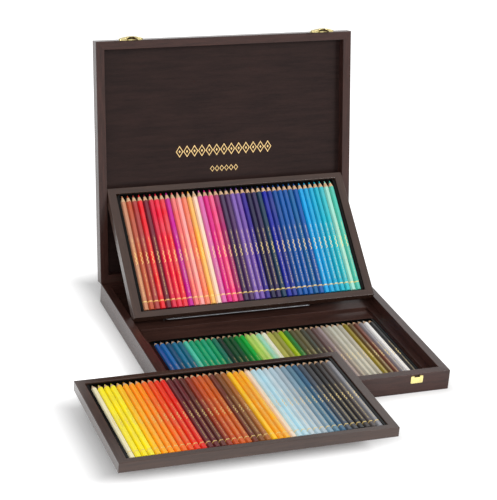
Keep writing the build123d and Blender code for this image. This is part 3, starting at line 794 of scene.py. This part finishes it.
# %% [markdown]
# ## Bare wood and coloured core
# The sharpener lays bare pale cedar with fine lines, and a wax core in the pencil's own colour. The
# cedar could be one flat colour, as it is only a few millimetres long, but a close view shows it. Its
# lines come from the shared grain group, with light colours instead of dark ones.

# %% Cedar and core materials
def cedar_material():
    """Pale sharpened cedar."""
    material, tree, shader, place = new_material("pencil cedar")
    turned = put(tree, "ShaderNodeMapping", {
        "Vector": place, "Rotation": (0, 0, math.radians(90)), "Scale": (3, 3, 3)}).outputs[0]
    wood = use_group(tree, grain, Point=turned, Dark=paint("cb9a70"), Light=paint("f8dab2"),
                     Streaks=40.0, Gloss=0.6)
    feed(tree, shader, {
        "Base Color": wood.outputs["Colour"], "Roughness": wood.outputs["Roughness"],
        "Normal": bump(tree, wood.outputs["Height"], 0.2, 0.04)})
    return material


def core_material():
    """Waxy core in the colour of its pencil."""
    material, tree, shader, place = new_material("pencil core")
    own = put(tree, "ShaderNodeAttribute", attribute_name="pencil_colour").outputs["Color"]
    rich = put(tree, "ShaderNodeHueSaturation", {"Color": own, "Saturation": 1.1, "Value": 0.95})
    surface = use_group(tree, handled, Point=place, Blotches=200.0, Tooth=1500.0, Roughness=0.5,
                        Spread=0.1)
    feed(tree, shader, {
        "Base Color": rich.outputs[0], "Roughness": surface.outputs["Roughness"],
        "Normal": bump(tree, surface.outputs["Height"], 0.2, 0.04)})
    return material


cedar, core = cedar_material(), core_material()
print("materials:", cedar.name, core.name)


# %% [markdown]
# ## Lay the three rows
# Each of the three rows of forty lies on its own bed, one of them tilted. The points could be worked
# out for each bed, but it is simpler to lay every row flat with its butts on Y = 0, and to let a matrix
# carry it to its bed. The printed boxes show that each row lies where the CAD barrels lie.

# %% Compare with the CAD
def compare(node, made):
    """Print the lowest and highest corner of a CAD node and of the piece made for it."""
    corners = [v.co for v in made.data.vertices]
    ours = [[pick(c[i] for c in corners) for i in range(3)] for pick in (min, max)]
    for label, box in (("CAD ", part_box(node)), ("made", ours)):
        print(node, label, [[round(c / MM, 2) for c in corner] for corner in box])


print("both boxes are printed in millimetres")


# %% Pencil rows
CASE_BED = Vector((0, -157.8, 9.4)) * MM
MIDDLE_TRAY = Vector((-129.3, -314.4, 28.8)) * MM
BED_IN_TRAY = Vector((0, 11.3, 9.9)) * MM
SLIDE = 0.25 * MM


def row_points():
    """Forty points along X, centred."""
    first = -(COUNT - 1) * PITCH / 2
    return [Vector((first + i * PITCH, 0, 0)) * MM for i in range(COUNT)]


def lay_row(body, names, matrix, seed):
    """Paint, wood and core of one row, riding on a body."""
    colours = [paint(lacquers[name]) for name in names]
    made = {}
    for part, piece, finish in (("paint", paint_shape, lacquer), ("cedar", wood_shape, cedar),
                                ("core", core_shape, core)):
        places = place_mesh(f"{body}_{part}_points", row_points(), colours)
        made[part] = set_pieces(f"{body}_pencil_{part}", places, piece, finish, matrix,
                                slide=SLIDE, seed=seed)
        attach(made[part], body)
    return made


beds = {
    "case": Matrix.Translation(CASE_BED),
    "middle_tray": Matrix.Translation(MIDDLE_TRAY + BED_IN_TRAY),
    "upper_tray": upper_place @ Matrix.Translation(BED_IN_TRAY),
}
for seed, (body, names) in enumerate((("case", case_row), ("middle_tray", middle_row),
                                      ("upper_tray", upper_row)), start=3):
    made = lay_row(body, names, beds[body], seed)
    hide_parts(body + "_pencil_barrels")
    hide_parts(body + "_pencil_leads")
    compare(body + "_pencil_barrels", made["paint"])


# %% [markdown]
# ## Screws and nails
# Eight brass screws hold the hinges, and eight domed nails hold the latch plates and the keepers. One
# turned profile serves each kind. A Boolean could cut the screw's slot, but here it is a ring of points
# drawn in to a narrow oblong and then lowered, so the head stays one closed skin. Both are made
# pointing down, with the head on top.

# %% Screw and nail shapes
def turned_ring(radius, height, count=16):
    """A ring about Z, for pieces that a lathe would make."""
    return [Vector((radius * math.cos(a), radius * math.sin(a), height)) * MM
            for a in (2 * math.pi * i / count for i in range(count))]


def slot_ring(height, half_length=1.45, half_width=0.28):
    """Sixteen points round an oblong slot."""
    quarter = [(1, 0), (1, 1), (0.65, 1), (0.3, 1)]
    whole = quarter + [(0, 1)] + [(-x, y) for x, y in reversed(quarter)]
    whole += [(x, -y) for x, y in reversed(whole[1:-1])]
    return [Vector((x * half_length, y * half_width, height)) * MM for x, y in whole]


screw_shape = loft("screw shape", [
    turned_ring(0.9, -8.0), turned_ring(0.9, -1.1), turned_ring(1.88, -0.04), turned_ring(1.8, 0.0),
    slot_ring(0.0), slot_ring(-0.5)], cap_start=True, cap_end=True)
nail_shape = loft("nail shape", [
    turned_ring(0.55, -6.0), turned_ring(0.55, 0.0), turned_ring(1.1, 0.0), turned_ring(1.05, 0.14),
    turned_ring(0.8, 0.26), turned_ring(0.4, 0.33)], cap_start=True, cap_end=True)
for shape in (screw_shape, nail_shape):
    print(shape.name, len(shape.data.polygons), "faces")


# %% [markdown]
# ## Set the screws and nails
# The screws stand in two lines along the hinges, and the nails in two lines along the latches. Each
# piece could have its own place, but a line needs fewer numbers. So each set is a line of points along
# X, two beside each hinge or latch, and a matrix gives the line its height, its direction and, on the
# lid, its tilt. SCREW_ROLL is the most sixths of a turn that a screw is rolled.

# %% Places of the screws and nails
HINGE_CENTRES, SCREW_OFFSET = (-115, 115), 14.0
LATCH_CENTRES, KEEPER_NAIL_OFFSET, LATCH_NAIL_OFFSET = (-143.5, 143.5), 6.95, 11.7
SCREW_LINE, BASE_SCREW_TOP, LID_SCREW_TOP = 166.4, 28.7, 29.0
FRONT_FACE, KEEPER_HEIGHT, LATCH_HEIGHT = -173.0, 17.0, 36.8
SCREW_ROLL = 2.4
print("screws on the line Y =", SCREW_LINE, "and nails on the face Y =", FRONT_FACE)


# %% Set the screws and nails
def fasteners(node, body, piece, finish, centres, offset, matrix, roll_steps=0.0):
    """Two pieces beside each centre along X, riding on a body in place of a CAD node."""
    points = [Vector((centre + side * offset, 0, 0)) * MM for centre in centres for side in (-1, 1)]
    made = set_pieces(node + "_finished", place_mesh(node + "_points", points), piece, finish, matrix,
                      roll_steps=roll_steps, axis=(0.0, 0.0, 1.0), seed=5)
    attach(made, body)
    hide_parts(node)
    compare(node, made)


def line_at(y, z):
    """A matrix that carries the X axis to a line at Y and Z, given in millimetres."""
    return Matrix.Translation(Vector((0, y, z)) * MM)


facing_down = Matrix.Rotation(math.pi, 4, "X")
facing_front = Matrix.Rotation(math.pi / 2, 4, "X")
fasteners("hinge_base_screws", "case", screw_shape, hinge_brass, HINGE_CENTRES, SCREW_OFFSET,
          line_at(SCREW_LINE, BASE_SCREW_TOP), SCREW_ROLL)
fasteners("hinge_lid_screws", "lid", screw_shape, hinge_brass, HINGE_CENTRES, SCREW_OFFSET,
          lid_place @ line_at(SCREW_LINE, LID_SCREW_TOP) @ facing_down, SCREW_ROLL)
fasteners("keeper_nails", "case", nail_shape, brass, LATCH_CENTRES, KEEPER_NAIL_OFFSET,
          line_at(FRONT_FACE, KEEPER_HEIGHT) @ facing_front)
fasteners("latch_nails", "lid", nail_shape, latch_brass_painted_darker, LATCH_CENTRES, LATCH_NAIL_OFFSET,
          lid_place @ line_at(FRONT_FACE, LATCH_HEIGHT) @ facing_front)


# %% [markdown]
# ## Foil ornament in the lid
# The panel inside the lid carries a thin gold foil: a plain chain of open lozenges with a stud in each,
# and a short row of smaller ones below. It could be a mask in the panel's material, but a thin skin of
# its own keeps the foil's edges crisp. A lozenge is a ring with four sides, drawn from an outer and an
# inner outline, and the row tree repeats it.

# %% Lozenge shapes
FOIL_LOW, FOIL_HIGH = 43.15, 43.24


def lozenge(half_width, half_height, height):
    """Four corners of a lozenge at a height, in the closed lid's frame."""
    corners = ((half_width, 0), (0, half_height), (-half_width, 0), (0, -half_height))
    return [Vector((x, y, height)) * MM for x, y in corners]


def open_lozenge(name, half_width, half_height, stroke):
    """A flat lozenge-shaped ring: a loft that goes round its own section and closes on itself."""
    outer = (half_width, half_height)
    inner = (half_width - stroke, half_height - stroke * half_height / half_width)
    section = ((inner, FOIL_HIGH), (inner, FOIL_LOW), (outer, FOIL_LOW), (outer, FOIL_HIGH),
               (inner, FOIL_HIGH))
    return loft(name, [lozenge(*size, height) for size, height in section])


def stud(name, half_width, half_height):
    """A small solid lozenge."""
    rings = [lozenge(half_width, half_height, height) for height in (FOIL_HIGH, FOIL_LOW)]
    return loft(name, rings, cap_start=True, cap_end=True)


large_lozenge = open_lozenge("large lozenge", 5.6, 8.6, 1.35)
small_lozenge = open_lozenge("small lozenge", 3.4, 4.6, 1.0)
large_stud = stud("large stud", 1.5, 2.3)
print("lozenges:", len(large_lozenge.data.polygons), "faces each")


# %% Set the ornament
LARGE_COUNT, LARGE_PITCH, LARGE_LINE = 13, 11.25, -8.2
SMALL_COUNT, SMALL_PITCH, SMALL_LINE = 6, 7.2, 19.4


def chain(name, piece, count, pitch, y):
    """Pieces in a row on the lid's panel, riding on the lid."""
    points = [Vector(((i - (count - 1) / 2) * pitch, y, 0)) * MM for i in range(count)]
    made = set_pieces(name, place_mesh(name + "_points", points), piece, foil, lid_place)
    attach(made, "lid")


chain("lid_foil_lozenges", large_lozenge, LARGE_COUNT, LARGE_PITCH, LARGE_LINE)
chain("lid_foil_studs", large_stud, LARGE_COUNT, LARGE_PITCH, LARGE_LINE)
chain("lid_foil_small_lozenges", small_lozenge, SMALL_COUNT, SMALL_PITCH, SMALL_LINE)


# %% [markdown]
# ## Floor, light and background
# The photograph was taken on a white sweep in soft light. The background could be a bright world
# alone, but that would wash out the wood and show no shadow. So the world is white only where the
# camera or a reflection sees it, and dimmer as a light. The floor adds that white to plain diffuse
# paint, so it keeps the object's shadow. The white glow is also held low in two upright boxes round
# the case and under the middle tray, and grows over the first few centimetres away from them. That
# is a painted shadow: it darkens the floor beside them, and behind the case where the hinge gap shows
# the floor. Each box is given by its centre and half its size in metres.

# %% Rays that see the white
def seen_directly(tree):
    """One for rays of the camera, of reflections and through glass, else nought."""
    rays = put(tree, "ShaderNodeLightPath")
    seen = maths(tree, "MAXIMUM", rays.outputs["Is Camera Ray"], rays.outputs["Is Glossy Ray"])
    return maths(tree, "MAXIMUM", seen, rays.outputs["Is Transmission Ray"])


print("ray helper ready")


# %% Floor
# Boxes of painted shadow: inside them the floor's white glow is held at its least.
CASE_SHADOW_PAINT_BOX = ((0, 0.03, 0), (0.192, 0.202, 1))
TRAY_SHADOW_PAINT_BOX = ((-0.12, -0.19, 0), (0.19, 0.08, 1))
SHADOW_PAINT_REACH, GLOW_IN_PAINTED_SHADOW, GLOW_MOST = 0.045, 0.08, 0.7


def beyond(tree, centre, half):
    """How far a point lies outside an upright box, in metres."""
    value = put(tree, "ShaderNodeNewGeometry").outputs["Position"]
    for operation, other in (("SUBTRACT", centre), ("ABSOLUTE", (0, 0, 0)), ("SUBTRACT", half),
                             ("MAXIMUM", (0, 0, 0))):
        value = put(tree, "ShaderNodeVectorMath", {0: value, 1: other}, operation=operation).outputs[0]
    return put(tree, "ShaderNodeVectorMath", {0: value}, operation="LENGTH").outputs["Value"]


reach, down = 6.0, -0.3 * MM
floor_mesh = bpy.data.meshes.new("floor")
corners = [(x * reach, y * reach, down) for x, y in ((-1, -1), (1, -1), (1, 1), (-1, 1))]
floor_mesh.from_pydata(corners, [], [(0, 1, 2, 3)])
floor = show(bpy.data.objects.new("floor", floor_mesh))
sweep = bpy.data.materials.new("white sweep with painted shadow")
tree = bare_tree(sweep)
# Painted shadow: the glow is weakest in the two boxes and grows over a few centimetres away from them.
painted_shadow_distance = maths(tree, "MINIMUM", beyond(tree, *CASE_SHADOW_PAINT_BOX), beyond(tree, *TRAY_SHADOW_PAINT_BOX))
glow_with_painted_shadow = span(tree, painted_shadow_distance, 0.0, SHADOW_PAINT_REACH, GLOW_IN_PAINTED_SHADOW, GLOW_MOST)
strength = maths(tree, "MULTIPLY", seen_directly(tree), glow_with_painted_shadow)
matt = put(tree, "ShaderNodeBsdfDiffuse", {"Color": (0.9, 0.9, 0.9, 1)}).outputs[0]
glow = put(tree, "ShaderNodeEmission", {"Color": (1, 1, 1, 1), "Strength": strength}).outputs[0]
both = put(tree, "ShaderNodeAddShader", {0: matt, 1: glow}).outputs[0]
put(tree, "ShaderNodeOutputMaterial", {"Surface": both})
floor_mesh.materials.append(sweep)
print("floor", reach * 2, "m wide")


# %% World
world = bpy.data.worlds.new("studio")
bpy.context.scene.world = world
tree = bare_tree(world)
room, white = [
    put(tree, "ShaderNodeBackground", {"Color": (1, 1, 1, 1), "Strength": strength}).outputs[0]
    for strength in (0.5, 1.0)]
both = put(tree, "ShaderNodeMixShader", {0: seen_directly(tree), 1: room, 2: white}).outputs[0]
put(tree, "ShaderNodeOutputWorld", {"Surface": both})
print("world ready")


# %% [markdown]
# ## Lamps
# Varnished wood looks soft and deep under large lamps, and a small lamp would give hard shadows. So
# three square lamps light the object: the key from the right, a larger one from the front left, and a
# weak one for the left side of the case.

# %% Lamps
AIM = (0, 0, 0.1)


def softbox(name, place, size, power):
    """A square lamp that points at the object."""
    lamp = bpy.data.lights.new(name, "AREA")
    lamp.shape = "SQUARE"
    lamp.size = size
    lamp.energy = power
    box = show(bpy.data.objects.new(name, lamp))
    box.location = place
    box.rotation_euler = (Vector(AIM) - Vector(place)).to_track_quat("-Z", "Y").to_euler()


softbox("key softbox", (1.6, -1.9, 1.8), 1.0, 40)
softbox("front softbox", (-0.9, -2.4, 1.5), 1.4, 31)
softbox("left softbox", (-2.3, 0.3, 0.5), 0.8, 9)
